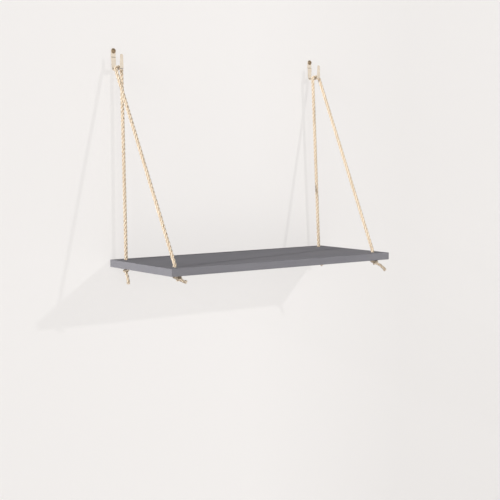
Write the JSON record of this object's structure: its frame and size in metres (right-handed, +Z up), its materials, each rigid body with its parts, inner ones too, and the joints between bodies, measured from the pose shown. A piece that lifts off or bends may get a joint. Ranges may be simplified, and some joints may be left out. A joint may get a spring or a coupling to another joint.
{
  "type": "hanging_rope_shelf",
  "caption": "Grey painted shelf board carried by a rope at each end, knotted below it and hung over brass J hooks on the wall",
  "frame": {"origin": "on the wall's face, midway between the two hooks, at the height of their screws", "axes": "+X along the wall to the right as seen from the room, +Y into the wall, +Z up"},
  "size_m": [0.6009, 0.2785, 0.506],
  "materials": {
    "board": "painted, matt grey",
    "rope": "natural, three strands",
    "hook": "polished, warm",
    "screw": "darkened",
    "plug": "moulded"
  },
  "bodies": {
    "wall_hooks": {"left_hook": "hook", "left_screw": "screw", "left_wall_plug": "plug", "right_hook": "hook", "right_screw": "screw", "right_wall_plug": "plug"},
    "left_saddle": {"left_rope_saddle": "rope"},
    "left_legs": {"left_rope_back_leg": "rope", "left_rope_front_leg": "rope"},
    "board": {"board": "board", "left_back_knot": "rope", "left_back_tail": "rope", "left_front_knot": "rope", "left_front_tail": "rope", "right_back_knot": "rope", "right_back_tail": "rope", "right_front_knot": "rope", "right_front_tail": "rope"},
    "right_legs": {"right_rope_back_leg": "rope", "right_rope_front_leg": "rope"},
    "right_saddle": {"right_rope_saddle": "rope"}
  },
  "joints": [
    {"name": "swing_out", "type": "hinge", "parent": "wall_hooks", "child": "left_saddle", "pos_m": [-0.274, -0.0255, -0.0357], "axis": [-1, 0, 0], "range_deg": [0, 25]},
    {"name": "sway", "type": "hinge", "parent": "left_saddle", "child": "left_legs", "pos_m": [-0.274, -0.0255, -0.0357], "axis": [0, 1, 0], "range_deg": [-8, 8]},
    {"name": "board_level", "type": "hinge", "parent": "left_legs", "child": "board", "pos_m": [-0.261, -0.0245, -0.4434], "axis": [0, 1, 0], "range_deg": [-8, 8]},
    {"name": "right_leg_sway", "type": "hinge", "parent": "board", "child": "right_legs", "pos_m": [0.287, -0.0245, -0.4434], "axis": [0, 1, 0], "range_deg": [-8, 8]},
    {"name": "right_saddle_level", "type": "hinge", "parent": "right_legs", "child": "right_saddle", "pos_m": [0.274, -0.0255, -0.0357], "axis": [0, 1, 0], "range_deg": [-8, 8]}
  ],
  "couplings": [
    {"joint": "board_level", "follows": "sway", "ratio": -1},
    {"joint": "right_leg_sway", "follows": "sway", "ratio": 1},
    {"joint": "right_saddle_level", "follows": "sway", "ratio": -1}
  ]
}
